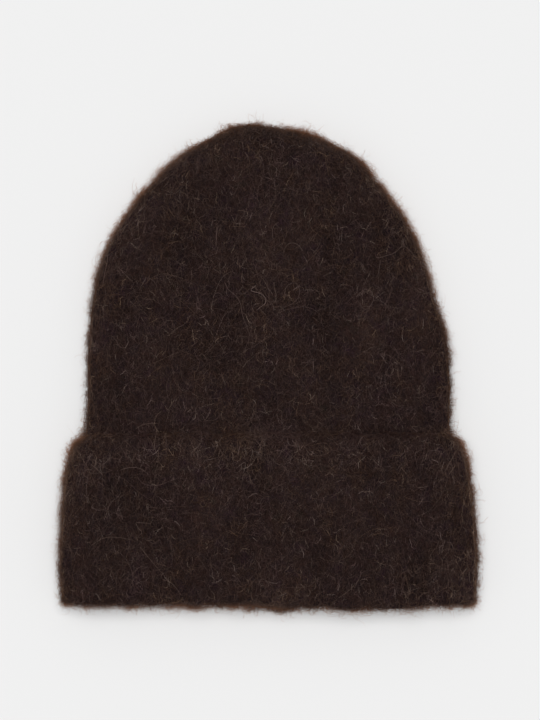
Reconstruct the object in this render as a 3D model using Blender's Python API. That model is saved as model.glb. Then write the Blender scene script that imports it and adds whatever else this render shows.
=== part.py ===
"""A brushed-knit beanie with a deep turned-up cuff, lying flat on its back.

Metres, +Z up. The origin is on the surface that the beanie lies on, under the middle of its outline.
+X runs across it, +Y from the hem to the tip of the crown, and its front faces +Z.
The crown is a knitted tube, open at the hem and drawn together at the tip. The cuff turns up around it
from a rolled hem. Both are one thickness of knit, so the hollow for the head is open inside them.
"""

from collections import namedtuple

import bmesh
import bpy
import numpy as np

MM = 0.001

# Driving sizes
HEIGHT = 244 * MM  # lowest point of the hem to the tip, cuff turned up
CROWN_WIDTH = 180.9 * MM  # across the crown just above the cuff
CUFF_WIDTH = 210.4 * MM  # across the cuff at its widest
CUFF_HEIGHT = 89 * MM  # hem to the cuff's upper edge
CROWN_LOFT = 19 * MM  # thickness of the lying crown, front to back, where it is fullest
KNIT = 3.2 * MM  # thickness of the brushed knit
FOLD_GAP = 0.8 * MM  # between the cuff and the crown inside it
SEAM_GAP = 0.3 * MM  # between the crown's lower rim and the rolled hem
CUFF_FLARE = 0.9 * MM  # how far the cuff's upper edge stands off, more than the fold gap
CUFF_FLARE_REACH = 14 * MM  # length of cuff over which it does
CUFF_EDGE_ROUND = 1.1 * MM  # rounding of the cuff's upper edge
TIP_HEIGHT = 6.5 * MM  # height of the tip's fold above the surface
PRESS = 0.4 * MM  # how much the weight flattens the underside

# Shape of a lying section
FOLD_SHAPE = 0.75  # radius of a side fold as a share of half the section's thickness
SIDE_FALL = 0.14  # how much lower the front is beside the folds than in the middle

# Resolution
COLUMNS = 56  # points round each section, half of them on the front
CROWN_RINGS = 32
CUFF_RINGS = 9
HEM_STEPS = 6
FINE_STEPS = 721  # samples of a section before it is shared out into columns
SPAN_STEPS = 24  # samples between two rows of a table
LOFT_WEIGHT = 4.0  # how strongly a changing loft draws the rings together

# The crown inside the cuff. rise is a share of CUFF_HEIGHT, left and right are shares of the half width
# inside the cuff, loft is a share of CROWN_LOFT.
CuffRow = namedtuple("CuffRow", "rise left right loft")
CUFF_ROWS = (
    CuffRow(0.00, 0.985, 0.988, 0.75),
    CuffRow(0.25, 1.002, 1.000, 0.81),
    CuffRow(0.44, 0.992, 0.991, 0.85),
    CuffRow(0.63, 0.984, 0.974, 0.87),
    CuffRow(0.80, 0.961, 0.951, 0.89),
    CuffRow(0.92, 0.933, 0.920, 0.91),
)

# The crown above the cuff. rise is a share of the height above the cuff, left and right are shares of
# half CROWN_WIDTH, loft is a share of CROWN_LOFT, rides is 1 where the cuff lies under the section.
CrownRow = namedtuple("CrownRow", "rise left right loft rides")
CROWN_ROWS = (
    CrownRow(0.000, 1.003, 0.995, 0.93, 1.00),
    CrownRow(0.060, 1.000, 1.000, 0.96, 0.72),
    CrownRow(0.150, 1.000, 1.004, 1.00, 0.20),
    CrownRow(0.260, 0.998, 0.993, 1.00, 0.00),
    CrownRow(0.370, 0.989, 0.956, 1.00, 0.00),
    CrownRow(0.465, 0.970, 0.918, 1.01, 0.00),
    CrownRow(0.560, 0.922, 0.867, 1.02, 0.00),
    CrownRow(0.654, 0.845, 0.795, 1.02, 0.00),
    CrownRow(0.748, 0.738, 0.695, 1.01, 0.00),
    CrownRow(0.827, 0.622, 0.598, 0.99, 0.00),
    CrownRow(0.890, 0.509, 0.502, 0.94, 0.00),
    CrownRow(0.937, 0.368, 0.357, 0.84, 0.00),
    CrownRow(0.968, 0.269, 0.229, 0.70, 0.00),
    CrownRow(0.989, 0.191, 0.069, 0.46, 0.00),
    CrownRow(1.000, 0.097, -0.097, 0.00, 0.00),
)

# Soft hollows and swells of the front. across is a share of half CROWN_WIDTH, rise a share of HEIGHT,
# reach a share of half CROWN_WIDTH, depth a share of KNIT, and a swell has a negative depth.
Dent = namedtuple("Dent", "across rise reach depth")
DENTS = (
    Dent(-0.45, 0.74, 0.30, 0.32),
    Dent(0.05, 0.60, 0.34, -0.26),
    Dent(0.58, 0.50, 0.28, 0.28),
    Dent(-0.62, 0.45, 0.26, 0.24),
    Dent(0.40, 0.78, 0.24, -0.18),
    Dent(-0.30, 0.20, 0.30, 0.24),
    Dent(0.30, 0.14, 0.32, -0.22),
)

# The wave of the hem. across is a share of the half width inside the cuff, front and back say how far
# the hem lies above its lowest point there, as shares of KNIT.
HemRow = namedtuple("HemRow", "across front back")
HEM_ROWS = (
    HemRow(-1.00, 1.10, 1.10),
    HemRow(-0.70, 0.85, 0.85),
    HemRow(-0.20, 1.30, 0.50),
    HemRow(0.08, 0.95, -0.10),
    HemRow(0.30, 0.50, 0.20),
    HemRow(0.55, 0.15, 0.45),
    HemRow(0.85, 0.65, 0.75),
    HemRow(1.00, 1.25, 1.25),
)
HEM_BLEND = 0.14  # reach of one row of the wave, as a share of the half width
HEM_FADE = 0.55  # share of CUFF_HEIGHT over which the hem's wave dies out

# Knit colour, seen through the brushed surface
WOOL = (0.022, 0.013, 0.0115, 1.0)
WOOL_ROUGHNESS = 0.9

# What follows from the driving sizes
INSIDE_CUFF = CUFF_WIDTH / 2 - FOLD_GAP - KNIT
UNDER_CUFF = KNIT + FOLD_GAP
BEND_INNER = FOLD_GAP / 2
BEND_MIDDLE = BEND_INNER + KNIT / 2
BEND_RISE = BEND_INNER + KNIT

Section = namedtuple("Section", "rise centre half loft rides")
PAST_THE_TIP = np.array([1, 1, -1, -1, 1])  # the outline turns over the tip and comes down again


def body_sections():
    """The two tables as one array of Section rows, in metres."""
    rows = []
    for row in CUFF_ROWS:
        left, right = row.left * INSIDE_CUFF, row.right * INSIDE_CUFF
        rows.append(Section(row.rise * CUFF_HEIGHT, (right - left) / 2, (right + left) / 2,
                            row.loft * CROWN_LOFT, 1.0))
    for row in CROWN_ROWS:
        left, right = row.left * CROWN_WIDTH / 2, row.right * CROWN_WIDTH / 2
        rise = CUFF_HEIGHT + row.rise * (HEIGHT - CUFF_HEIGHT)
        rows.append(Section(rise, (right - left) / 2, (right + left) / 2,
                            row.loft * CROWN_LOFT, row.rides))
    return np.array(rows)


def smooth_sections(rows):
    """A Catmull-Rom curve through the rows, sampled finely, that lies across at the tip."""
    ends = np.vstack([2 * rows[0] - rows[1], rows, rows[-2] * PAST_THE_TIP])
    share = np.linspace(0, 1, SPAN_STEPS, endpoint=False)[:, None]
    spans = []
    for before, start, end, after in zip(ends, ends[1:], ends[2:], ends[3:]):
        spans.append(0.5 * (2 * start + (end - before) * share
                            + (2 * before - 5 * start + 4 * end - after) * share ** 2
                            + (3 * start - before - 3 * end + after) * share ** 3))
    return np.vstack(spans + [rows[-1:]])


BODY = smooth_sections(body_sections())


def section_at(rise):
    return Section(*(np.interp(rise, BODY[:, 0], column) for column in BODY.T))


def even_rises(start, count):
    """Rises from start to the tip, even along the outline and closer together where the loft changes."""
    rise, half, loft = BODY[:, 0], BODY[:, 2], BODY[:, 3]
    step = np.hypot(np.hypot(np.diff(rise), np.diff(half)), LOFT_WEIGHT * np.diff(loft))
    length = np.concatenate([[0], np.cumsum(step)])
    first = np.interp(start, rise, length)
    return np.interp(np.linspace(first, length[-1], count), length, rise)


def dent_depth(across, rise):
    """How far the front is pushed in at these places."""
    depth = np.zeros_like(across)
    for dent in DENTS:
        away = np.hypot(across - dent.across * CROWN_WIDTH / 2, rise - dent.rise * HEIGHT)
        depth += dent.depth * KNIT * np.exp(-(away / (dent.reach * CROWN_WIDTH / 2)) ** 2)
    return depth


def share_out(across, height):
    """Half a section's columns, closer together where it bends: their places and outward directions."""
    tangent = np.stack([np.gradient(across), np.gradient(height)])
    step = np.hypot(*np.diff([across, height]))
    angle = np.unwrap(np.arctan2(tangent[1], tangent[0]))
    length = np.concatenate([[0], np.cumsum(step)])
    turned = np.concatenate([[0], np.cumsum(np.abs(np.diff(angle)))])
    measure = length / length[-1] + turned / turned[-1]
    columns = np.linspace(0, measure[-1], COLUMNS // 2, endpoint=False)
    angle = np.interp(columns, measure, angle)
    places = [np.interp(columns, measure, values) for values in (across, height)]
    return np.array([*places, np.sin(angle), -np.cos(angle)])


def ring(rise, outward=0.0, flare=0.0, shift=0.0):
    """The beanie's section at this rise: its columns, moved outwards, and more so by flare off the bed.

    The loop starts at the right fold, crosses the front to the left fold and returns under the back.
    """
    section = section_at(rise)
    across = np.cos(np.linspace(0, np.pi, FINE_STEPS))
    squareness = max(2.0, 2 * FOLD_SHAPE * section.half / max(section.loft / 2, MM / 10))
    bulge = np.sqrt(np.clip(1 - np.abs(across) ** squareness, 0, 1))
    bed = max(0.0, section.rides * UNDER_CUFF, TIP_HEIGHT - section.loft / 2)
    middle = bed + section.loft / 2
    x = section.centre + section.half * across
    front = middle + section.loft / 2 * bulge * (1 - SIDE_FALL * across ** 2)
    front -= dent_depth(x, rise) * bulge ** 2
    back = np.maximum(bed, middle - (section.loft / 2 + PRESS) * bulge)
    halves = share_out(x, front), share_out(x[::-1], back[::-1])
    x, z, out_x, out_z = np.hstack(halves)
    lifted = np.clip((z - bed) / (section.loft / 2), 0, 1)
    outward = outward + flare * lifted
    x = x + out_x * outward
    z = z + out_z * outward
    y = np.full(COLUMNS, rise + shift - HEIGHT / 2) + hem_wave(x, rise)
    return np.column_stack([x, y, z])


def hem_wave(across, rise):
    """How far the hem's wave lifts each column, front columns first, fading up the cuff."""
    fade = max(0.0, 1 - rise / (HEM_FADE * CUFF_HEIGHT)) ** 2
    rows = np.array(HEM_ROWS)
    away = (across[:, None] / INSIDE_CUFF - rows[:, 0]) / HEM_BLEND
    weight = np.exp(-away ** 2) + 1e-9
    front, back = (weight @ rows[:, 1:] / weight.sum(axis=1)[:, None]).T
    return np.where(np.arange(COLUMNS) < COLUMNS // 2, front, back) * KNIT * fade


def sheet_through(rings, name, tip=None):
    """A mesh of quads through the rings, extruded from one to the next, closed at the tip if given."""
    sheet = bmesh.new()
    column_of = sheet.verts.layers.int.new("column")
    loop = bmesh.ops.create_circle(sheet, segments=COLUMNS, radius=1)["verts"]
    for column, vertex in enumerate(loop):
        vertex[column_of] = column
    edges = list(sheet.edges)
    move_to(loop, rings[0], column_of)
    for places in rings[1:]:
        grown = bmesh.ops.extrude_edge_only(sheet, edges=edges)["geom"]
        edges = [item for item in grown if isinstance(item, bmesh.types.BMEdge)]
        loop = [item for item in grown if isinstance(item, bmesh.types.BMVert)]
        edges = [edge for edge in edges if all(vertex in loop for vertex in edge.verts)]
        move_to(loop, places, column_of)
    if tip is not None:
        grown = bmesh.ops.extrude_edge_only(sheet, edges=edges)["geom"]
        loop = [item for item in grown if isinstance(item, bmesh.types.BMVert)]
        bmesh.ops.pointmerge(sheet, verts=loop, merge_co=tip)
    bmesh.ops.recalc_face_normals(sheet, faces=sheet.faces)
    mesh = bpy.data.meshes.new(name)
    sheet.to_mesh(mesh)
    sheet.free()
    mesh.attributes.remove(mesh.attributes["column"])
    return mesh


def move_to(loop, places, column_of):
    for vertex in loop:
        vertex.co = places[vertex[column_of]]


def brushed_wool(name):
    material = bpy.data.materials.new(name)
    material.use_nodes = True
    shader = material.node_tree.nodes["Principled BSDF"]
    shader.inputs["Base Color"].default_value = WOOL
    shader.inputs["Roughness"].default_value = WOOL_ROUGHNESS
    shader.inputs["Metallic"].default_value = 0.0
    return material


def knitted(mesh, side):
    """An object whose sheet gets the knit's thickness: side -1 puts it inside the sheet, 0 on both."""
    mesh.materials.append(brushed_wool(mesh.name + "_knit"))
    mesh.shade_smooth()
    piece = bpy.data.objects.new(mesh.name, mesh)
    bpy.context.collection.objects.link(piece)
    wall = piece.modifiers.new("knit", "SOLIDIFY")
    wall.thickness = KNIT
    wall.offset = side
    wall.use_even_offset = True
    wall.use_quality_normals = True
    return piece


def make_crown():
    """The knitted tube, from its lower rim inside the hem to the tip."""
    rim = BEND_RISE + SEAM_GAP
    rings = [ring(rise) for rise in even_rises(rim, CROWN_RINGS)[:-1]]
    tip = (section_at(HEIGHT).centre, HEIGHT / 2, TIP_HEIGHT)
    return knitted(sheet_through(rings, "crown", tip), -1)


def make_cuff():
    """The rolled hem and the turned-up cuff, from the seam inside to the upper edge outside."""
    middle = FOLD_GAP / 2
    rings = []
    for angle in np.linspace(np.pi, 0, HEM_STEPS, endpoint=False):
        outward = middle + BEND_MIDDLE * np.cos(angle)
        rings.append(ring(BEND_RISE, outward, shift=-BEND_MIDDLE * np.sin(angle)))
    for rise in np.linspace(BEND_RISE, CUFF_HEIGHT, CUFF_RINGS):
        near_edge = max(0.0, 1 - (CUFF_HEIGHT - rise) / CUFF_FLARE_REACH)
        rings.append(ring(rise, middle + BEND_MIDDLE, flare=CUFF_FLARE * near_edge ** 2))
    cuff = knitted(sheet_through(rings, "cuff"), 0)
    edge = cuff.modifiers.new("edge_round", "BEVEL")
    edge.width = CUFF_EDGE_ROUND
    edge.segments = 2
    edge.limit_method = "ANGLE"
    edge.angle_limit = np.radians(60)
    return cuff


def main():
    for leftover in list(bpy.data.objects):
        bpy.data.objects.remove(leftover)
    beanie = bpy.data.objects.new("beanie", None)
    bpy.context.collection.objects.link(beanie)
    for piece in (make_crown(), make_cuff()):
        piece.parent = beanie


main()
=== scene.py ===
"""A brushed-knit beanie with a turned-up cuff, lying flat on its back, dressed for rendering.

The crown and the cuff are smooth copies of their CAD shells with the ribs of the knit pressed into them.
A nap of fine fibres lies over both, combed mostly along the ribs, with longer curls that stand off it.
Metres, +X across the beanie, +Y from the hem to the tip, +Z up through the front.
"""

from collections import namedtuple

import bmesh
import bpy
import numpy as np
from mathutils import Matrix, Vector, noise
from mathutils.bvhtree import BVHTree


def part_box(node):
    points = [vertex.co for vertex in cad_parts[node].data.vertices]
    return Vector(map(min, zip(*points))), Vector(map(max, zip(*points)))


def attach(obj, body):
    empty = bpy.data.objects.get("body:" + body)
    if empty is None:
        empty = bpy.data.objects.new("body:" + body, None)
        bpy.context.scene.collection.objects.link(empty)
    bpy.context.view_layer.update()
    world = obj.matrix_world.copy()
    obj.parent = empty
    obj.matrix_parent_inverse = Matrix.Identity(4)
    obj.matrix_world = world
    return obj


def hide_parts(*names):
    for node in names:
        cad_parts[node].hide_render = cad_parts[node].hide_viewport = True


MM = 0.001

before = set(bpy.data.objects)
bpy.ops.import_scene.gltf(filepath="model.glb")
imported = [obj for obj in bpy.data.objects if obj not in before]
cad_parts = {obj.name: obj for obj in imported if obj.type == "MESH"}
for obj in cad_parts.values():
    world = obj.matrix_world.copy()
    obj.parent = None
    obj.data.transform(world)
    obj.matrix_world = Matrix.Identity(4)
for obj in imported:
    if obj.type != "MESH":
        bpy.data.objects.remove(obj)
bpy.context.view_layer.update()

# Knit
WALES = 32  # ribs across the front, and as many across the back
RIB_DEPTH = 0.45 * MM
LUMPS = ((14 * MM, 0.40 * MM), (6 * MM, 0.25 * MM))  # size and depth
FOLD_DRAW = 1.0 * MM  # how much the shells draw in along their folds, to leave room for the nap
SMOOTHING = 1  # subdivision levels of the shells
MERGE = 0.001 * MM
QUAD_BEND = np.radians(40)  # how far two loose triangles may bend, or be askew, and still make a quad
QUAD_SKEW = np.radians(60)
OUTLINE_STEP = 5 * MM
OUTLINE_REACH = 0.8  # how far from a row its points may lie, in steps
LEAST_STRAIGHT = 0.2  # half the straight between the folds at the very tip, as a share of their radius

# The hem
HEM_LUMPS = ((26 * MM, 1.8 * MM), (9 * MM, 2.2 * MM), (4 * MM, 1.0 * MM))  # size and depth
HEM_REACH = 12 * MM  # length of cuff that the hem's edge shapes
HEM_LINE = (  # across, and how far the hem's edge is moved, in mm
    (-101, -0.2), (-93, 0.7), (-82, 0.3), (-65, -0.2), (-58, -0.7), (-53, -1.1), (-49, 0.4), (-42, -0.1),
    (-37, -1.8), (-33, -1.7), (-28, -0.4), (-18, 0.2), (-9, 0.4), (-1, 0.0), (7, -0.3), (14, 0.1),
    (20, 0.8), (28, 1.1), (36, 0.6), (40, 0.9), (43, -0.4), (47, -1.2), (52, -0.4), (56, 0.5), (66, 0.3),
    (80, 0.4), (91, 0.9), (96, 0.0), (103, -0.6),
)
HEM_SPREAD = 1.4 * MM  # how much fuller its corners are

# The cuff's upper edge
EDGE_REACH = 22 * MM  # length of cuff that it shapes
EDGE_WAVES = ((20 * MM, 1.6 * MM), (6 * MM, 1.5 * MM))  # size and depth
EDGE_SETTLE = 1.2 * MM  # how far it sinks towards the crown
CORNER_FROM = 0.84  # share of the half width where it starts to round off
CORNER_DROP = (7.4 * MM, 5.0 * MM)  # at the left and at the right
CORNER_SPREAD = 0.5 * MM  # how far the cuff's sides swell below its corners
RIM_REACH = 6 * MM  # length of cuff whose front is rounded off, and how much
RIM_ROUND = 1.6 * MM

# The crown's sides and tip
SHOULDER = (93 * MM, 16 * MM, 1.8 * MM)  # where the sides draw in, how far along, and how much
CROWN_SIDES = (  # along, and how far the left and the right side are moved out, in mm
    (-40, 0.2, 0.3), (-15, 1.0, 0.5), (5, 0.9, 1.0), (20, 0.6, 0.2), (32, 0.2, -0.5), (45, 0.0, -1.2),
    (58, 0.0, -0.8), (75, 0.0, 0.0),
)
TIP_SINK = 0.9 * MM  # how far the whole tip draws in towards the hem
SLOPE = (24 * MM, 18 * MM, 0.9 * MM)  # where it draws in more, how far across, and how much
GATHER = (-4.75 * MM, 117 * MM)  # where it is drawn together
GATHER_DEPTH = 1.8 * MM
GATHER_SIZE = 2.6 * MM

# Fibres. A tone is a place on the wool's colour ramp, and a tint one on the ramp from cool to warm.
FLOOR_GAP = 0.15 * MM
ROOT_DEPTH = 0.05 * MM
LEVEL_STRAY = 0.3  # how far loose fibres turn from level
FOLD_HUG = 0.7  # how much closer the nap lies along the folds
TIP_FLARE = 1.5  # how much farther loose fibres stand off where the knit faces away from the hem
HEM_FLARE = 0.8  # and where it faces the other way
EDGE_PAINTED_LIGHT = 0.42  # painted light: how much paler the nap is painted where the knit turns down at the sides, for the light its fuzz catches there
LOOSE_PAINTED_LIGHT = 0.15  # the same painted light on the loose fibres there
EDGE_PAINTED_GLOW = 0.5  # painted glow: how much warmer the nap's tint is painted there, for the light that comes through its fuzz
SIDE_LIGHT_BELOW = 23 * MM  # height under which the sides get this painted light and glow, and how far below it they are fully so
SIDE_LIGHT_FADE = 3 * MM
OUT_FULL = 2.4 * MM  # how far a loose fibre stands out at the sides before the light comes all through it
PALE_TONES = (0.4, 0.75)  # from here to here fibres get thinner with their tone, down to this share
PALE_THIN = 0.55
STRAY = 0.18  # how much a fibre differs from its lock
FALL = (0.3, 1.3)  # how much of its slope a fibre loses by halfway
PACE = (0.5, 1.5)  # turns of its sway and lift over its length
LEAST_OVER = 0.3  # how much it heads up or down on a level face, where the comb adds nothing
RIB_VALLEY_SHADE = 0.03  # painted shade: how much paler the nap is on a rib than beside it, darkening the valleys between the ribs
TINT_STRAY = 0.15  # how much the tint of a fibre of the nap differs from that of its neighbours
TINT_PATCHES = (9 * MM, 2)  # size across, and how much longer they are along the ribs
TONE_PATCHES = ((1.6 * MM, 4, 0.05), (8 * MM, 2, 0.06), (32 * MM, 1, 0.05))  # the same, and how much paler
LEAST_PLACE = 0.01  # ends of the ramps that tones and tints keep clear of
MOST_PLACE = 0.99
TAPER = 0.7  # how much of its width squared a fibre loses before its point
MAP_SPREAD = 0.004  # how much tone and tint change over a fibre, so that its faces have some area on the map

# Places on the front that are made paler, or darker where the amount is negative: x and y of the middle,
# reach across and along, in mm, and how much. Some of them are painted light and shade, as marked below.
PALE_ABOVE = 8 * MM  # height over which they count, as the front lies there
PALE_AND_PAINTED_LIGHT_PLACES = (
    (-1, 31, 14, 26, 0.11),
    (27, 22, 12, 16, 0.03),
    (-6, -44, 14, 28, 0.05),
    (-2, -40, 30, 12, 0.10),
    (10, -28, 36, 6, 0.05),
    # painted highlight: the band along the cuff's upper edge, with its left and right ends at -77 and 82
    (0, -41, 120, 9, 0.14),
    (-77, -42, 15, 9, 0.09),
    (-84, -60, 14, 12, 0.03),
    (82, -42, 16, 9, 0.06),
    # painted shade: the dark band on the crown just above the cuff's edge
    (0, -30, 120, 3, -0.05),
    (0, -113, 48, 8, 0.03),
    (-2, -113, 10, 8, 0.15),
    (0, -113, 120, 6, 0.03),
    (80, -110, 24, 12, 0.09),
    (-7, -14, 10, 12, 0.05),
    (94, -90, 8, 12, 0.05),
    (-70, 64, 12, 20, 0.03),
    (-56, 48, 14, 24, 0.03),
    (-72, 44, 9, 22, 0.05),
    (-62, 2, 10, 14, -0.04),
    # painted highlight along the rim near the tip
    (0, 102, 42, 9, 0.04),
    (58, 91, 12, 10, 0.04),
)

# Single hairs that catch the eye: how pale each is, and where it runs, in mm.
EYE_HAIRS = (
    (0.90, (-6.3, 40.4), (-9.0, 38.4), (-8.7, 37.7), (-5.2, 36.9), (-2.7, 35.9), (-1.0, 33.4), (-1.7, 31.2),
     (-3.7, 29.9), (-6.2, 27.9)),
    (0.82, (-25.5, 69.4), (-26.0, 64.4), (-26.2, 59.4)),
    (0.78, (-80.2, 55.4), (-80.7, 50.9), (-82.0, 44.9), (-82.5, 40.4)),
    (0.72, (-21.7, 41.9), (-20.2, 38.4), (-16.7, 35.9), (-13.7, 31.9), (-13.2, 25.9), (-11.2, 20.9),
     (-8.7, 14.4)),
    (0.66, (-27.7, 34.4), (-26.7, 36.6), (-24.2, 36.9), (-22.7, 34.9), (-23.7, 33.4)),
    (0.66, (-61.2, 44.4), (-58.7, 43.9), (-56.2, 41.9), (-55.2, 38.4)),
    (0.66, (-74.7, 49.4), (-70.7, 45.4), (-66.7, 41.4)),
    (0.70, (43.7, 34.9), (47.2, 38.4), (49.7, 38.9), (51.7, 36.9), (52.7, 33.9), (51.2, 30.9), (48.7, 27.9),
     (46.7, 29.4), (43.7, 33.9)),
    (0.68, (8.7, 34.9), (7.7, 37.9), (9.7, 40.9), (13.2, 42.4), (15.2, 39.9), (15.7, 36.4), (14.2, 32.9),
     (10.2, 30.4), (5.7, 28.9), (3.7, 24.4)),
    (0.72, (53.7, 54.4), (55.7, 54.2), (58.7, 55.4), (62.7, 56.4), (65.2, 58.9), (66.7, 60.9), (70.2, 58.4),
     (72.7, 55.4), (75.7, 51.9), (77.7, 49.4)),
    (0.68, (55.7, 52.9), (55.0, 48.4), (54.2, 44.4)),
    (0.72, (17.2, 57.4), (15.2, 60.4), (12.2, 61.9), (9.2, 60.9), (7.7, 57.9), (7.2, 55.9)),
    (0.64, (25.7, 61.9), (24.2, 58.4), (22.2, 56.4)),
    (0.68, (2.2, 63.4), (1.7, 68.4), (3.2, 70.9), (5.2, 71.9)),
    (0.82, (71.7, 29.4), (74.2, 27.9)),
    (0.76, (-14.2, -39.1), (-15.0, -44.1)),
    (0.74, (-6.7, -35.8), (-3.2, -39.9), (-5.9, -44.1)),
    (0.78, (-55.5, -30.9), (-56.3, -36.7), (-56.6, -40.9), (-53.8, -44.7)),
    (0.70, (-65.9, -30.9), (-62.6, -28.4), (-54.2, -28.0)),
    (0.80, (-88.0, -48.4), (-84.7, -50.9), (-81.7, -54.2)),
    (0.74, (-73.4, -51.3), (-70.9, -50.1), (-64.2, -49.6), (-58.8, -53.8)),
    (0.64, (-51.7, -32.6), (-50.1, -37.6), (-50.9, -44.2)),
    (0.74, (44.1, -39.4), (45.7, -35.2), (49.1, -33.3), (53.2, -34.0)),
    (0.76, (87.8, -51.5), (90.7, -46.1), (93.9, -40.9)),
    (0.74, (-65.7, -77.1), (-58.2, -77.6)),
    (0.74, (-65.7, -77.6), (-64.7, -80.1), (-62.2, -82.1), (-64.7, -84.1)),
    (0.74, (-52.2, -105.6), (-47.7, -107.1), (-43.0, -113.8)),
    (0.72, (-87.7, -88.6), (-82.2, -84.6), (-75.2, -84.3), (-66.7, -86.1)),
    (0.72, (-63.7, -89.3), (-58.2, -96.1), (-51.4, -103.9)),
)
EYE_STEPS = 16
EYE_CUT = 0.25  # share of each stretch that is cut off at a corner of the path
EYE_HEIGHT = 1.4 * MM
EYE_ENDS = 0.3  # how far inside a half wave the height's rise and fall begin and end
EYE_WIDTH = 0.17 * MM
EYE_TINTS = (0.3, 0.6)


def finished(mesh, name, material, node=None):
    """Links a mesh as a piece that rides on the beanie's one body."""
    mesh.name = name
    mesh.materials.clear()
    mesh.materials.append(material)
    piece = bpy.data.objects.new(name, mesh)
    bpy.context.collection.objects.link(piece)
    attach(piece, "root")
    if node:
        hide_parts(node)
    return piece


# Shaders


class Value:
    """A socket that adds Math nodes when it is used in a sum."""

    def __init__(self, tree, socket):
        self.tree = tree
        self.socket = socket

    def sibling(self, output):
        """Another output of the same node."""
        return Value(self.tree, self.socket.node.outputs[output])

    def maths(self, operation, first, second):
        return self.tree.node("Math", {"operation": operation}, {0: first, 1: second})

    def __add__(self, other):
        return self.maths("ADD", self, other)

    __radd__ = __add__

    def __mul__(self, other):
        return self.maths("MULTIPLY", self, other)

    __rmul__ = __mul__

    def __sub__(self, other):
        return self.maths("SUBTRACT", self, other)

    def __rsub__(self, other):
        return self.maths("SUBTRACT", other, self)


class Finish:
    """A material and the nodes that are added to it."""

    def __init__(self, name, **sockets):
        self.material = bpy.data.materials.new(name)
        self.material.use_nodes = True
        self.nodes = self.material.node_tree.nodes
        self.links = self.material.node_tree.links
        self.shader = self.nodes["Principled BSDF"]
        self.set(**sockets)

    def fill(self, node, sockets):
        for key, value in sockets.items():
            if isinstance(value, Value):
                self.links.new(value.socket, node.inputs[key])
            else:
                node.inputs[key].default_value = value

    def node(self, kind, settings=None, sockets=None, output=0):
        """Adds a ShaderNode of this kind, with its settings first and then its sockets."""
        made = self.nodes.new("ShaderNode" + kind)
        for key, value in (settings or {}).items():
            if key == "stops":
                self.ramp(made.color_ramp, value)
            else:
                setattr(made, key, value)
        self.fill(made, sockets or {})
        return Value(self, made.outputs[output])

    def ramp(self, ramp, stops):
        while len(ramp.elements) < len(stops):
            ramp.elements.new(1.0)
        for element, (place, colour) in zip(ramp.elements, stops):
            element.position = place
            element.color = (*colour, 1.0)

    def product(self, colour, other):
        """Two colours multiplied, through the numbered colour sockets of a Mix node."""
        settings = {"data_type": "RGBA", "blend_type": "MULTIPLY"}
        return self.node("Mix", settings, {"Factor": 1.0, 6: colour, 7: other}, output=2)

    def set(self, **sockets):
        """Fills the main shader's sockets, named like base_color for Base Color."""
        names = {name.lower().replace(" ", "_"): name for name in self.shader.inputs.keys()}
        self.fill(self.shader, {names[key]: value for key, value in sockets.items()})


# The knit shells


Outline = namedtuple("Outline", "y left right low high")


def outline_of(points):
    """Where a shell's sides, underside and top lie along its length."""
    rows = []
    for y in np.arange(points[:, 1].min(), points[:, 1].max() + OUTLINE_STEP, OUTLINE_STEP):
        near = points[np.abs(points[:, 1] - y) < OUTLINE_STEP * OUTLINE_REACH]
        if len(near):
            low, high = near.min(axis=0), near.max(axis=0)
            rows.append((y, low[0], high[0], low[2], high[2]))
    return Outline(*np.array(rows).T)


def section_at(points, outline):
    """Each point's section: its centre, its middle height, its radius and half the straight between folds."""
    left, right, low, high = (np.interp(points[:, 1], outline.y, edge) for edge in outline[1:])
    radius = (high - low) / 2
    straight = np.maximum((right - left) / 2 - radius, radius * LEAST_STRAIGHT)
    return (left + right) / 2, (low + high) / 2, radius, straight


def wale_at(points, outline):
    """The number of ribs from the front's middle line to each point, counted round the nearer side."""
    centre, middle, radius, straight = section_at(points, outline)
    aside = np.abs(points[:, 0] - centre)
    above = points[:, 2] - middle
    angle = np.arctan2(aside - straight, np.abs(above))
    round_fold = radius * np.where(above > 0, angle, np.pi - angle)
    flat = np.where(above > 0, aside, 2 * straight + np.pi * radius - aside)
    distance = np.where(aside < straight, flat, straight + round_fold)
    return distance / (2 * straight + np.pi * radius) * WALES


def outside_of(points, normals, outline):
    """Which points are on the outer wall, whose normals point away from the middle of the hollow."""
    centre, middle, radius, straight = section_at(points, outline)
    axis = np.stack([np.clip(points[:, 0], centre - straight, centre + straight),
                     np.minimum(points[:, 1], outline.y[-1] - 2 * radius), middle], axis=1)
    return ((points - axis) * normals).sum(axis=1) > 0


def smoothed(node):
    """A subdivided copy of a CAD node's mesh, with its loose triangles merged into quads."""
    form = bmesh.new()
    form.from_mesh(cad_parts[node].data)
    bmesh.ops.remove_doubles(form, verts=form.verts, dist=MERGE)
    bmesh.ops.join_triangles(
        form, faces=form.faces, angle_face_threshold=QUAD_BEND, angle_shape_threshold=QUAD_SKEW
    )
    mesh = bpy.data.meshes.new(node)
    form.to_mesh(mesh)
    form.free()
    carrier = bpy.data.objects.new(node + "_form", mesh)
    bpy.context.collection.objects.link(carrier)
    smooth = carrier.modifiers.new("smooth", "SUBSURF")
    smooth.levels = SMOOTHING
    smooth.render_levels = SMOOTHING
    bpy.context.view_layer.update()
    copy = bpy.data.meshes.new_from_object(carrier.evaluated_get(bpy.context.evaluated_depsgraph_get()))
    bpy.data.objects.remove(carrier)
    return copy


def numbers(items, key, width, kind=np.float32):
    """One vector of a mesh's items to a row."""
    values = np.empty(len(items) * width, kind)
    items.foreach_get(key, values)
    return values.reshape(-1, width)


def noise_at(points, size, along=1.0):
    """Smooth noise from about -1 to 1, whose patches are along times as long as they are wide."""
    scale = np.array([1.0, 1.0 / along, 1.0]) / size
    return np.array([noise.noise(Vector(point)) for point in points * scale])


def lumps_at(points, sizes):
    return sum(depth * noise_at(points, size) for size, depth in sizes)


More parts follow.
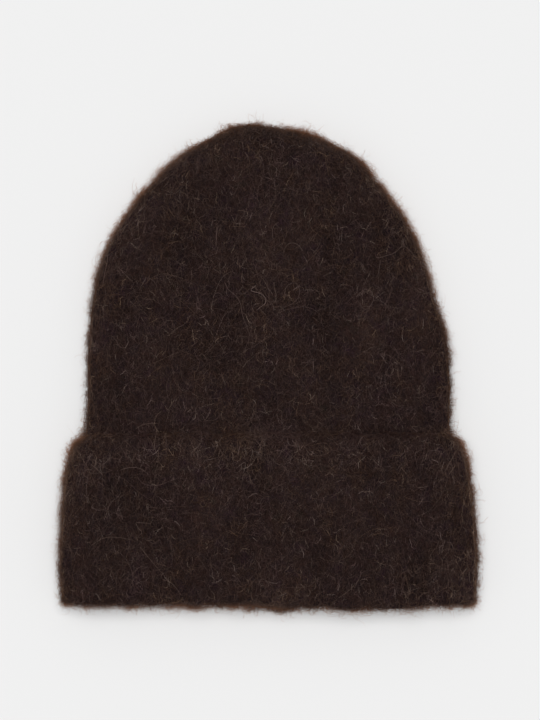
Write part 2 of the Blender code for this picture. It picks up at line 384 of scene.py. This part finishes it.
def shape_cuff(points, normals, outline):
    """Gives the hem its small lumps, and the cuff's upper edge its waves and round corners."""
    low, high = points[:, 1].min(), points[:, 1].max()
    near_hem = np.clip(1 - (points[:, 1] - low) / HEM_REACH, 0, 1) ** 2
    near_edge = np.clip(1 - (high - points[:, 1]) / EDGE_REACH, 0, 1) ** 2
    centre, middle, radius, straight = section_at(points, outline)
    aside = (points[:, 0] - centre) / (straight + radius)
    corner = np.clip((np.abs(aside) - CORNER_FROM) / (1 - CORNER_FROM), 0, 1)
    across = points * (1, 0, 1)
    line = np.interp(points[:, 0] / MM, *zip(*HEM_LINE)) * MM
    points[:, 1] += near_hem * (lumps_at(across, HEM_LUMPS) + line)
    points[:, 0] += near_hem * HEM_SPREAD * aside ** 5
    drop = np.where(aside < 0, *CORNER_DROP)
    points[:, 1] += near_edge * (lumps_at(across, EDGE_WAVES) - drop * corner ** 2)
    below = np.clip((high - points[:, 1]) / EDGE_REACH, 0, 1)
    points[:, 0] += np.sin(np.pi * below) * corner * CORNER_SPREAD * np.sign(aside)
    front = normals[:, 2] > 0
    rim = np.clip(1 - (high - points[:, 1]) / RIM_REACH, 0, 1)
    raised = points[:, 2] > middle
    points[:, 2] -= raised * (EDGE_SETTLE * near_edge + RIM_ROUND * rim ** 2 * front)


def shape_crown(points, normals, outline):
    """Draws the sides in below the tip, sinks the tip, and draws it together in a small hollow."""
    middle, reach, draw = SHOULDER
    width = np.interp(points[:, 1], outline.y, outline.right - outline.left)
    aside = (points[:, 0] - GATHER[0]) / width * 2
    points[:, 0] -= draw * np.exp(-((points[:, 1] - middle) / reach) ** 2) * aside ** 3
    along, left, right = (np.array(column) * MM for column in zip(*CROWN_SIDES))
    out = np.where(aside < 0, np.interp(points[:, 1], along, left), np.interp(points[:, 1], along, right))
    points[:, 0] += out * aside ** 3
    middle, reach, more = SLOPE
    sink = TIP_SINK + more * np.exp(-((points[:, 0] - middle) / reach) ** 2)
    points[:, 1] -= sink * np.clip(points[:, 1] / GATHER[1], 0, 1) ** 2
    away = np.hypot(points[:, 0] - GATHER[0], points[:, 1] - GATHER[1])
    points[:, 2] -= GATHER_DEPTH * np.exp(-(away / GATHER_SIZE) ** 2)


SHAPERS = {"crown": shape_crown, "cuff": shape_cuff}
TINY_AREA = 1e-15
TINY_LENGTH = 1e-12


class Shell:
    """A CAD shell made soft, with the ribs of its knit, and what its fibres need to know about it."""

    def __init__(self, node):
        self.mesh = smoothed(node)
        points = numbers(self.mesh.vertices, "co", 3).astype(float)
        normals = numbers(self.mesh.vertices, "normal", 3).astype(float)
        outline = outline_of(points)
        wale = wale_at(points, outline)
        height = RIB_DEPTH / 2 * (np.cos(2 * np.pi * wale) - 1) + lumps_at(points, LUMPS)
        height -= FOLD_DRAW * (1 - np.abs(normals[:, 2])) ** 2
        points += normals * height[:, None]
        SHAPERS[node](points, normals, outline)
        points[:, 2] = np.maximum(points[:, 2], 0.0)
        self.mesh.vertices.foreach_set("co", points.astype(np.float32).ravel())
        self.mesh.update()
        self.mesh.shade_smooth()
        self.mesh.calc_loop_triangles()
        self.points = points
        self.corners = numbers(self.mesh.loop_triangles, "vertices", 3, np.int32)
        a, b, c = (points[self.corners[:, i]] for i in range(3))
        cross = np.cross(b - a, c - a)
        self.areas = np.linalg.norm(cross, axis=1) / 2
        self.normals = cross / np.maximum(self.areas * 2, TINY_AREA)[:, None]
        self.centres = (a + b + c) / 3
        self.outside = outside_of(self.centres, self.normals, outline)
        self.wale = wale_at(self.centres, outline)

    def roots(self, weight, count, rng):
        """Random places on the shell, its normals there and the ribs they are on."""
        share = self.areas * weight
        chosen = rng.choice(len(self.corners), count, p=share / share.sum())
        u, v = rng.random((2, count, 1))
        folded = u + v > 1
        u, v = np.where(folded, 1 - u, u), np.where(folded, 1 - v, v)
        a, b, c = (self.points[self.corners[chosen, i]] for i in range(3))
        return a + u * (b - a) + v * (c - a), self.normals[chosen], self.wale[chosen]


class Skin:
    """The surface of several shells, over which fibres run."""

    RAY_START = 1.0  # well above the beanie
    FOLD_HEIGHT = 8 * MM

    def __init__(self, shells):
        points = []
        corners = []
        for shell in shells:
            corners.extend((shell.corners + len(points)).tolist())
            points.extend(shell.points.tolist())
        self.tree = BVHTree.FromPolygons(points, corners)

    def top(self, points):
        """Where these places lie on the upper side, or on the nearest fold if they are off it."""
        found = []
        for x, y in points:
            hit = self.tree.ray_cast((x, y, self.RAY_START), (0, 0, -1))[0]
            found.append(hit or self.tree.find_nearest((x, y, self.FOLD_HEIGHT))[0])
        return np.array(found)

    def nearest(self, points):
        """The nearest places on the skin, and its normals there."""
        found = [self.tree.find_nearest(point) for point in points]
        return np.array([hit[0] for hit in found]), np.array([hit[1] for hit in found])


# Materials


SHEEN_TINT = (1.0, 0.55, 0.38, 1.0)
COMBED = (1.0, 0.5, 1.0)  # the mat's pattern is twice as long as it is wide
BROAD_SCALE = 45.0  # patches to a metre
PATCH_SCALE = 130.0
FIBRE_SCALE = 1500.0
FIBRE_SHARE = 0.85  # how much the fine and the broad pattern lighten the mat
BROAD_SHARE = 0.3
SHADE_DROP = 0.075
MAT_BUMP = 0.6 * MM
PATCH_STOPS = (
    (0.30, (0.0165, 0.0088, 0.0108)),
    (0.45, (0.0160, 0.0098, 0.0095)),
    (0.60, (0.0185, 0.0100, 0.0088)),
    (0.75, (0.0150, 0.0102, 0.0085)),
)
SHADE_STOPS = ((0.28, (0.10, 0.10, 0.10)), (0.52, (1.0, 1.0, 1.0)), (0.78, (2.6, 2.5, 2.4)))


def knit_finish():
    """The dense mat of short fibres that hides the stitches."""
    finish = Finish("brushed_knit", roughness=0.95, specular_ior_level=0.02, sheen_weight=0.10,
                    sheen_roughness=0.35, sheen_tint=SHEEN_TINT)
    place = finish.node("TexCoord", output="Object")
    combed = finish.node("Mapping", sockets={"Vector": place, "Scale": COMBED})
    broad = finish.node("TexNoise", sockets={"Vector": combed, "Scale": BROAD_SCALE, "Detail": 3.0})
    patches = finish.node("TexNoise", sockets={"Vector": place, "Scale": PATCH_SCALE, "Detail": 3.0})
    fibres = finish.node("TexNoise", sockets={"Vector": combed, "Scale": FIBRE_SCALE, "Detail": 5.0,
                                              "Roughness": 0.65})
    tint = finish.node("ValToRGB", {"stops": PATCH_STOPS}, {"Fac": patches})
    light = fibres * FIBRE_SHARE + broad * BROAD_SHARE - SHADE_DROP
    shade = finish.node("ValToRGB", {"stops": SHADE_STOPS}, {"Fac": light})
    bump = finish.node("Bump", sockets={"Strength": 0.6, "Distance": MAT_BUMP, "Height": fibres})
    finish.set(base_color=finish.product(tint, shade), normal=bump)
    return finish.material


NAP_STOPS = (
    (0.00, (0.0078, 0.0046, 0.0047)),
    (0.30, (0.0210, 0.0122, 0.0115)),
    (0.50, (0.0460, 0.0286, 0.0256)),
    (0.70, (0.1010, 0.0675, 0.0575)),
    (0.85, (0.1780, 0.1230, 0.1010)),
    (1.00, (0.3600, 0.2800, 0.2350)),
)
TINT_STOPS = (
    (0.00, (1.08, 0.92, 1.05)),
    (0.50, (1.00, 1.00, 1.00)),
    (1.00, (1.17, 0.97, 0.72)),
)
NEUTRAL = 0.5  # the tint that changes nothing
NAP_GLOW = 0.25  # share of light that comes through, and its colour
NAP_GLOW_COLOUR = (0.42, 0.20, 0.10)
LOOSE_GLOW = 0.66
LOOSE_GLOW_COLOUR = (0.63, 0.31, 0.17)


def fibre_finish(name, glow, glow_colour, loose=False):
    """Wool fibres, through which light glows from behind. U on their map is their tone and V their tint.

    A loose one's tint is also how far it stands out at the sides, and so how much light it lets through; its
    base colour is painted warmer there too, as a painted glow.
    """
    finish = Finish(name, roughness=0.6, specular_ior_level=0.10)
    place = finish.node("UVMap", {"uv_map": "OFBake"})
    u = finish.node("SeparateXYZ", sockets={"Vector": place})
    v = u.sibling("Y")
    tone = finish.node("ValToRGB", {"stops": NAP_STOPS}, {"Fac": u})
    tint = finish.node("ValToRGB", {"stops": TINT_STOPS}, {"Fac": v})
    finish.set(base_color=finish.product(tone, tint))
    if loose:
        glow = (v - NEUTRAL) * (glow / (1 - NEUTRAL))
    through = finish.node("BsdfTranslucent", sockets={"Color": (*glow_colour, 1.0)})
    solid = Value(finish, finish.shader.outputs["BSDF"])
    both = finish.node("MixShader", sockets={0: glow, 1: solid, 2: through})
    finish.links.new(both.socket, finish.nodes["Material Output"].inputs["Surface"])
    return finish.material


# Fibres and how they grow


# Fibres grow in locks of members, whose roots lie within gather of one another. length, width, cap and
# leave are ranges. cap is how far a fibre may stand off the knit. In radians, leave is the angle at which
# it sets out, bend how far it turns in all, sway how far it turns to and fro, and lift how far it dips up
# and down. comb is how strongly it follows the ribs, tone its place on the wool's ramp, and spread how
# much that varies. A loose fibre's flat side lies level, so that the floor's light comes up through it,
# and it stands off most at the folds.
Growth = namedtuple(
    "Growth", "members gather steps length width cap leave bend sway lift comb tone spread loose",
    defaults=(False,)
)
NAP = Growth(
    members=1, gather=0, steps=3, length=(2.5 * MM, 7.0 * MM), width=(0.10 * MM, 0.21 * MM),
    cap=(0.15 * MM, 1.5 * MM), leave=(0.0, 0.5), bend=1.3, sway=1.2, lift=0.1, comb=2.0,
    tone=0.40, spread=0.25,
)
FRINGE = Growth(
    members=3, gather=0.8 * MM, steps=4, length=(3.0 * MM, 7.0 * MM), width=(0.06 * MM, 0.13 * MM),
    cap=(0.8 * MM, 5.5 * MM), leave=(0.6, 1.5), bend=2.0, sway=4.0, lift=1.2, comb=0.6,
    tone=0.36, spread=0.15, loose=True,
)
WISP = Growth(
    members=3, gather=0.5 * MM, steps=7, length=(5 * MM, 12 * MM), width=(0.07 * MM, 0.12 * MM),
    cap=(1.5 * MM, 7.0 * MM), leave=(0.6, 1.5), bend=2.0, sway=5.0, lift=2.0, comb=0.6,
    tone=0.40, spread=0.15, loose=True,
)
HAIR = Growth(
    members=1, gather=0, steps=8, length=(7 * MM, 17 * MM), width=(0.07 * MM, 0.11 * MM),
    cap=(0.7 * MM, 3.0 * MM), leave=(0.2, 0.8), bend=3.0, sway=3.2, lift=0.3, comb=1.0,
    tone=0.56, spread=0.10,
)
RIM = Growth(
    members=3, gather=0.6 * MM, steps=4, length=(4.0 * MM, 10.0 * MM), width=(0.10 * MM, 0.20 * MM),
    cap=(0.5 * MM, 3.0 * MM), leave=(0.3, 1.3), bend=1.4, sway=1.5, lift=0.4, comb=1.4,
    tone=0.30, spread=0.15,
)
GUARD = Growth(
    members=1, gather=0, steps=11, length=(12 * MM, 30 * MM), width=(0.08 * MM, 0.12 * MM),
    cap=(0.5 * MM, 2.5 * MM), leave=(0.0, 0.4), bend=1.8, sway=2.4, lift=0.1, comb=1.0,
    tone=0.76, spread=0.08,
)

# What one way over the knit needs, with a value for each fibre.
Course = namedtuple("Course", "heading step cap leave fall turn pace swaying lifting sway lift twist askew")

# Places and the directions of their sides have a row for each step, and so have the tints of loose fibres.
Fibres = namedtuple("Fibres", "places sides tones tints")


def unit(vectors):
    return vectors / np.maximum(np.linalg.norm(vectors, axis=1), TINY_LENGTH)[:, None]


def in_plane(vectors, normals):
    return unit(vectors - normals * (vectors * normals).sum(axis=1)[:, None])


class Locks:
    """Random values that the fibres of one lock nearly share."""

    def __init__(self, growth, count, rng):
        self.rng = rng
        self.count = count // growth.members
        self.member = np.repeat(np.arange(self.count), growth.members)

    def uniform(self, low, high):
        stray = self.rng.normal(0, STRAY * (high - low), len(self.member))
        return np.clip(self.rng.uniform(low, high, self.count)[self.member] + stray, low, high)

    def normal(self, spread):
        own = self.rng.normal(0, STRAY * spread, len(self.member))
        return self.rng.normal(0, spread, self.count)[self.member] + own


def course_of(growth, locks, normal):
    """The way that each fibre takes from its root, which the fibres of a lock nearly share."""
    count = len(normal)
    flare = 1 + TIP_FLARE * np.clip(normal[:, 1], 0, 1) + HEM_FLARE * np.clip(-normal[:, 1], 0, 1)
    stand = flare if growth.loose else 1 - FOLD_HUG * (1 - np.abs(normal[:, 2]))
    step = locks.uniform(*growth.length)[:, None] / growth.steps
    if growth.loose:
        step *= np.sqrt(flare)[:, None]
    cap = (growth.cap[0] + (growth.cap[1] - growth.cap[0]) * locks.uniform(0, 1) ** 2) * stand
    leave = locks.uniform(*growth.leave)
    fall = locks.uniform(*FALL)
    turn = locks.normal(growth.bend)
    pace = locks.uniform(*PACE) * 2 * np.pi
    swaying = locks.uniform(0, 2 * np.pi)
    lifting = locks.uniform(0, 2 * np.pi)
    sway = locks.normal(growth.sway)
    lift = locks.normal(growth.lift)
    twist = locks.rng.uniform(0, np.pi, count)[:, None]
    askew = locks.rng.normal(0, LEVEL_STRAY, (count, 3))
    over = locks.normal(1) * (LEAST_OVER + growth.comb * np.abs(normal[:, 1]))
    start = np.stack([locks.normal(1), locks.normal(growth.comb), over])
    heading = in_plane(start.T, normal)
    return Course(heading, step, cap, leave, fall, turn, pace, swaying, lifting, sway, lift, twist, askew)


def run(growth, course, skin, place, normal):
    """Lets fibres wander over the skin: their points, side directions and how far they stand out, by rows."""
    heading = course.heading
    places = [place - normal * ROOT_DEPTH]
    sides = []
    out = [np.zeros(len(place))]
    for row in range(growth.steps + 1):
        across = np.cross(normal, heading)
        share = row / growth.steps
        sloping = course.leave * (1 - 2 * course.fall * share)
        rise = (sloping + course.lift * np.cos(course.lifting + course.pace * share))[:, None]
        ahead = heading * np.cos(rise) + normal * np.sin(rise)
        if growth.loose:
            sides.append(unit(np.cross(ahead, (0.0, 0.0, 1.0)) + course.askew))
        else:
            sides.append(unit(across * np.cos(course.twist) + normal * np.sin(course.twist)))
        if row == growth.steps:
            break
        ahead = places[-1] + ahead * course.step
        place, normal = skin.nearest(ahead)
        height = np.clip(((ahead - place) * normal).sum(axis=1), ROOT_DEPTH, course.cap)
        places.append(place + normal * height[:, None])
        out.append(height * (1 - np.abs(normal[:, 2])) / OUT_FULL)
        swing = course.turn + course.sway * np.cos(course.swaying + course.pace * share)
        angle = (swing / growth.steps)[:, None]
        heading = in_plane(heading * np.cos(angle) + across * np.sin(angle), normal)
    return np.stack(places), np.stack(sides), np.stack(out)


def grow(shell, skin, growth, weight, count, rng):
    """Fibres that root on a shell and wander over a skin, with their tones and tints."""
    locks = Locks(growth, count, rng)
    place, normal, wale = (values[locks.member] for values in shell.roots(weight, locks.count, rng))
    if growth.gather:
        place, normal = skin.nearest(place + rng.normal(0, growth.gather, place.shape))
    course = course_of(growth, locks, normal)
    places, sides, out = run(growth, course, skin, place, normal)
    # painted light and glow where the knit turns down at the sides: paler tones for all fibres, and a warmer
    # tint for the nap
    painted_side_light = (1 - np.abs(normal[:, 2])) * np.clip((SIDE_LIGHT_BELOW - place[:, 2]) / SIDE_LIGHT_FADE, 0, 1)
    tones = growth.tone + locks.normal(growth.spread)
    tones += (LOOSE_PAINTED_LIGHT if growth.loose else EDGE_PAINTED_LIGHT) * painted_side_light
    # painted shade in the valleys between the ribs, then paler patches and the listed places, some of which
    # are painted light and shade
    tones += (RIB_VALLEY_SHADE * np.cos(2 * np.pi * wale) + patches_and_painted_light_at(places[0])) * NAP.tone / growth.tone
    if growth.loose:
        # painted glow: a loose fibre's tint, and so its base colour, is warmer the farther it stands out at
        # the sides
        tints = NEUTRAL + (1 - NEUTRAL) * out
    else:
        tints = NEUTRAL + (1 - NEUTRAL) * noise_at(places[0] + 1, *TINT_PATCHES)
        tints += rng.normal(0, TINT_STRAY, len(tints))
        tints += EDGE_PAINTED_GLOW * painted_side_light
    tones = np.clip(tones, LEAST_PLACE, MOST_PLACE)
    tints = np.clip(tints, LEAST_PLACE, MOST_PLACE)
    return Fibres(places, sides, tones, tints)


def patches_and_painted_light_at(points):
    """How much paler the wool is made than elsewhere: in streaks and patches, and in the places on the list,
    some of which are painted light and shade.
    """
    tones = sum(paler * noise_at(points, size, along) for size, along, paler in TONE_PATCHES)
    for x, y, across, along, paler in PALE_AND_PAINTED_LIGHT_PLACES:
        away = ((points[:, 0] / MM - x) / across) ** 2 + ((points[:, 1] / MM - y) / along) ** 2
        tones += paler * np.exp(-away) * (points[:, 2] > PALE_ABOVE)
    return tones


def ribbons(fibres, widths, name):
    """One mesh of flat fibres that end in points, with their tones and tints in a UV map."""
    places, sides, tones, tints = fibres
    steps, count = places.shape[0] - 1, places.shape[1]
    taper = np.sqrt(1 - TAPER * (np.arange(steps) / steps) ** 2)
    half = (widths * taper[:, None] / 2)[:, :, None]
    points = np.concatenate([places[:steps] - sides[:steps] * half, places[:steps] + sides[:steps] * half,
                             places[steps:]]).reshape(-1, 3)
    points[:, 2] = np.maximum(points[:, 2], FLOOR_GAP)
    left = np.arange(steps * count).reshape(steps, count)
    right = left + steps * count
    tip = np.arange(count) + 2 * steps * count
    faces = np.concatenate([
        np.stack([left[:-1], right[:-1], right[1:]], axis=-1).reshape(-1, 3),
        np.stack([left[:-1], right[1:], left[1:]], axis=-1).reshape(-1, 3),
        np.stack([left[-1], right[-1], tip], axis=-1),
    ])
    mesh = bpy.data.meshes.new(name)
    mesh.from_pydata(points, [], faces)
    tone = np.concatenate([np.tile(tones, steps) - MAP_SPREAD, np.tile(tones, steps) + MAP_SPREAD, tones])
    tints = np.broadcast_to(tints, (steps + 1, count))
    along = tints[:-1].ravel() + np.repeat(np.linspace(-MAP_SPREAD, MAP_SPREAD, steps), count)
    tint = np.concatenate([along, along, tints[-1] + 1.5 * MAP_SPREAD])
    layer = mesh.uv_layers.new(name="OFBake")
    layer.uv.foreach_set("vector", np.stack([tone, tint], axis=1)[faces.ravel()].astype(np.float32).ravel())
    mesh.shade_smooth()
    return mesh


def add_fibres(shell, skin, growth, weight, count, name, material):
    rng = np.random.default_rng(sum(name.encode()))
    fibres = grow(shell, skin, growth, weight, count, rng)
    thinner = np.interp(fibres.tones, PALE_TONES, (1.0, PALE_THIN))
    widths = rng.uniform(*growth.width, len(thinner)) * thinner
    finished(ribbons(fibres, widths, name), name, material)


# Single hairs


def rounded(corners):
    """A path whose corners are cut twice, with its ends where they were."""
    for _ in range(2):
        near, far = corners[:-1], corners[1:]
        cut = np.stack([near * (1 - EYE_CUT) + far * EYE_CUT, near * EYE_CUT + far * (1 - EYE_CUT)], axis=1)
        corners = np.concatenate([corners[:1], cut.reshape(-1, 2), corners[-1:]])
    return corners


def eye_path(skin, corners):
    """Even steps along a rounded path, raised off the skin between its ends."""
    path = rounded(np.array(corners) * MM)
    gone = np.concatenate([[0], np.cumsum(np.linalg.norm(np.diff(path, axis=0), axis=1))])
    even = np.linspace(0, gone[-1], EYE_STEPS + 1)
    places = skin.top(np.stack([np.interp(even, gone, path[:, i]) for i in range(2)], axis=1))
    wave = np.linspace(EYE_ENDS, np.pi - EYE_ENDS, EYE_STEPS + 1)
    places[:, 2] += EYE_HEIGHT * np.sqrt(np.sin(wave))
    return places


def add_eye_hairs(skin, node, edge, material):
    """Makes the listed hairs that lie on one piece, which is the cuff below its edge and the crown above."""
    chosen = [hair for hair in EYE_HAIRS if (hair[1][1] * MM < edge) == (node == "cuff")]
    places = np.stack([eye_path(skin, corners) for tone, *corners in chosen], axis=1)
    sides = np.stack([unit(np.cross(ahead, (0, 0, 1))) for ahead in np.gradient(places, axis=0)])
    tones = np.array([tone for tone, *corners in chosen])
    name = node + "_stray_hairs"
    fibres = Fibres(places, sides, tones, np.linspace(*EYE_TINTS, len(tones)))
    finished(ribbons(fibres, np.full(len(tones), EYE_WIDTH), name), name, material)


# Dressing


CLUMP_SIZE = 6 * MM
CLUMP_DEPTH = 0.9
CLUMP_RANGE = (0.1, 3)
FOLD_FLAT = 0.97  # how level a face may lie and still count as fold
FOLD_POWER = 1.5
TIP_MORE = 2.2  # how much denser loose fibres are where the knit faces away from the hem, and towards it
HEM_MORE = 1.4
BELOW_LEVEL = -0.7  # faces that point down more than this have fewer loose fibres
BELOW_SHARE = 0.2
BACK_HAIRS = 0.3  # hairs on the back, as a share of the front's
RIM_SIDE = 88 * MM  # how far out the fringe goes on round the cuff's corners
RIM_GAP = 4 * MM  # width of the band along the cuff's upper edge that has a nap of its own
RIM_UNDER = -0.2  # faces there that point down more than this have little of it
RIM_UNDER_SHARE = 0.1
OVERLAP = 3 * MM  # how far under the cuff the crown's fibres start

Counts = namedtuple("Counts", "nap_front nap_back fringe wisps hairs long_hairs")
COUNTS = {
    "crown": Counts(nap_front=36000, nap_back=8000, fringe=22000, wisps=3300, hairs=3900, long_hairs=450),
    "cuff": Counts(nap_front=29000, nap_back=7000, fringe=20000, wisps=2000, hairs=3300, long_hairs=400),
}
RIM_COUNT = 8000  # fibres of the nap over the cuff's upper edge


def weights_for(shell, shown_from, rim_from):
    """How densely fibres root on the front, on the back and along the folds of a shell."""
    shown = shell.outside & (shell.centres[:, 1] > shown_from)
    front = shown * np.where(shell.normals[:, 2] > 0, 1.0, 0.0)
    back = shown * np.where(shell.normals[:, 2] <= 0, 1.0, 0.0)
    aside = np.clip(FOLD_FLAT - np.abs(shell.normals[:, 2]), 0, 1)
    clump = np.clip(1 + CLUMP_DEPTH * noise_at(shell.centres, CLUMP_SIZE), *CLUMP_RANGE)
    ends = 1 + TIP_MORE * np.clip(shell.normals[:, 1], 0, 1) + HEM_MORE * np.clip(-shell.normals[:, 1], 0, 1)
    fold = shown * clump * ends * aside * np.where(shell.normals[:, 2] > BELOW_LEVEL, 1.0, BELOW_SHARE)
    rim = (shell.centres[:, 1] < rim_from) | (np.abs(shell.centres[:, 0]) > RIM_SIDE)
    return front, back, fold ** FOLD_POWER * rim


def dress_shell(node, shell, skin, weights, materials):
    """Adds a shell and all the fibres that root on it."""
    knit, wool, halo = materials
    front, back, fold = weights
    slot = node + "_knit"
    finished(shell.mesh, slot, knit, node)
    both = front + BACK_HAIRS * back
    for part, growth, weight, material in (
            ("nap_front", NAP, front, wool),
            ("nap_back", NAP, back, wool),
            ("fringe", FRINGE, fold, halo),
            ("wisps", WISP, fold, halo),
            ("hairs", HAIR, both, wool),
            ("long_hairs", GUARD, both, wool)):
        count = getattr(COUNTS[node], part)
        add_fibres(shell, skin, growth, weight, count, node + "_" + part, material)


def add_rim_nap(cuff, skin, edge, material):
    """A nap over the cuff's upper edge."""
    rim = cuff.outside * np.clip(1 - (edge - cuff.centres[:, 1]) / RIM_GAP, 0, 1)
    rim *= np.where(cuff.normals[:, 2] > RIM_UNDER, 1.0, RIM_UNDER_SHARE)
    add_fibres(cuff, skin, RIM, rim, RIM_COUNT, "cuff_rim_nap", material)


def dress():
    knit = knit_finish()
    wool = fibre_finish("wool_nap", NAP_GLOW, NAP_GLOW_COLOUR)
    halo = fibre_finish("wool_fringe", LOOSE_GLOW, LOOSE_GLOW_COLOUR, loose=True)
    materials = (knit, wool, halo)
    crown, cuff = Shell("crown"), Shell("cuff")
    skin = Skin((crown, cuff))
    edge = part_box("cuff")[1].y
    dress_shell("crown", crown, skin, weights_for(crown, edge - OVERLAP, np.inf), materials)
    dress_shell("cuff", cuff, skin, weights_for(cuff, -np.inf, edge - RIM_GAP), materials)
    add_rim_nap(cuff, skin, edge, wool)
    for node in ("crown", "cuff"):
        add_eye_hairs(skin, node, edge, wool)


# Floor, light and camera


FLOOR_REACH = 20.0
FLOOR_COLOUR = (0.8, 0.8, 0.8, 1.0)
WHITE = (1.0, 1.0, 1.0, 1.0)
SKY = 0.30
SUN = 2.53
SUN_SPREAD = np.radians(38)
SUN_FROM = (-0.02, 0.14, 1.0)
CAMERA_PLACE = (0.75 * MM, 3.4 * MM, 1.5)
FRAME_HEIGHT = 360 * MM  # what the picture shows from top to bottom, at this height above the floor
FRAME_PLANE = 12 * MM
SENSOR_HEIGHT = 24.0
NEAREST = 0.05


def make_floor():
    form = bmesh.new()
    bmesh.ops.create_grid(form, x_segments=1, y_segments=1, size=FLOOR_REACH)
    mesh = bpy.data.meshes.new("floor")
    form.to_mesh(mesh)
    form.free()
    finish = Finish("pale_floor", base_color=FLOOR_COLOUR, roughness=1.0, specular_ior_level=0.0)
    mesh.materials.append(finish.material)
    floor = bpy.data.objects.new("floor", mesh)
    bpy.context.collection.objects.link(floor)


def make_light():
    world = bpy.data.worlds.new("studio")
    bpy.context.scene.world = world
    world.use_nodes = True
    sky = world.node_tree.nodes["Background"]
    sky.inputs["Color"].default_value = WHITE
    sky.inputs["Strength"].default_value = SKY
    sun = bpy.data.lights.new("window", "SUN")
    sun.energy = SUN
    sun.angle = SUN_SPREAD
    lamp = bpy.data.objects.new("window", sun)
    lamp.rotation_euler = Vector(SUN_FROM).to_track_quat("Z", "Y").to_euler()
    bpy.context.collection.objects.link(lamp)


def make_camera():
    lens = bpy.data.cameras.new("camera")
    camera = bpy.data.objects.new("camera", lens)
    camera.location = CAMERA_PLACE
    lens.sensor_fit = "VERTICAL"
    lens.sensor_height = SENSOR_HEIGHT
    lens.lens = SENSOR_HEIGHT * (CAMERA_PLACE[2] - FRAME_PLANE) / FRAME_HEIGHT
    lens.clip_start = NEAREST
    bpy.context.collection.objects.link(camera)
    bpy.context.scene.camera = camera
    bpy.context.scene.view_settings.view_transform = "Standard"


dress()
make_floor()
make_light()
make_camera()
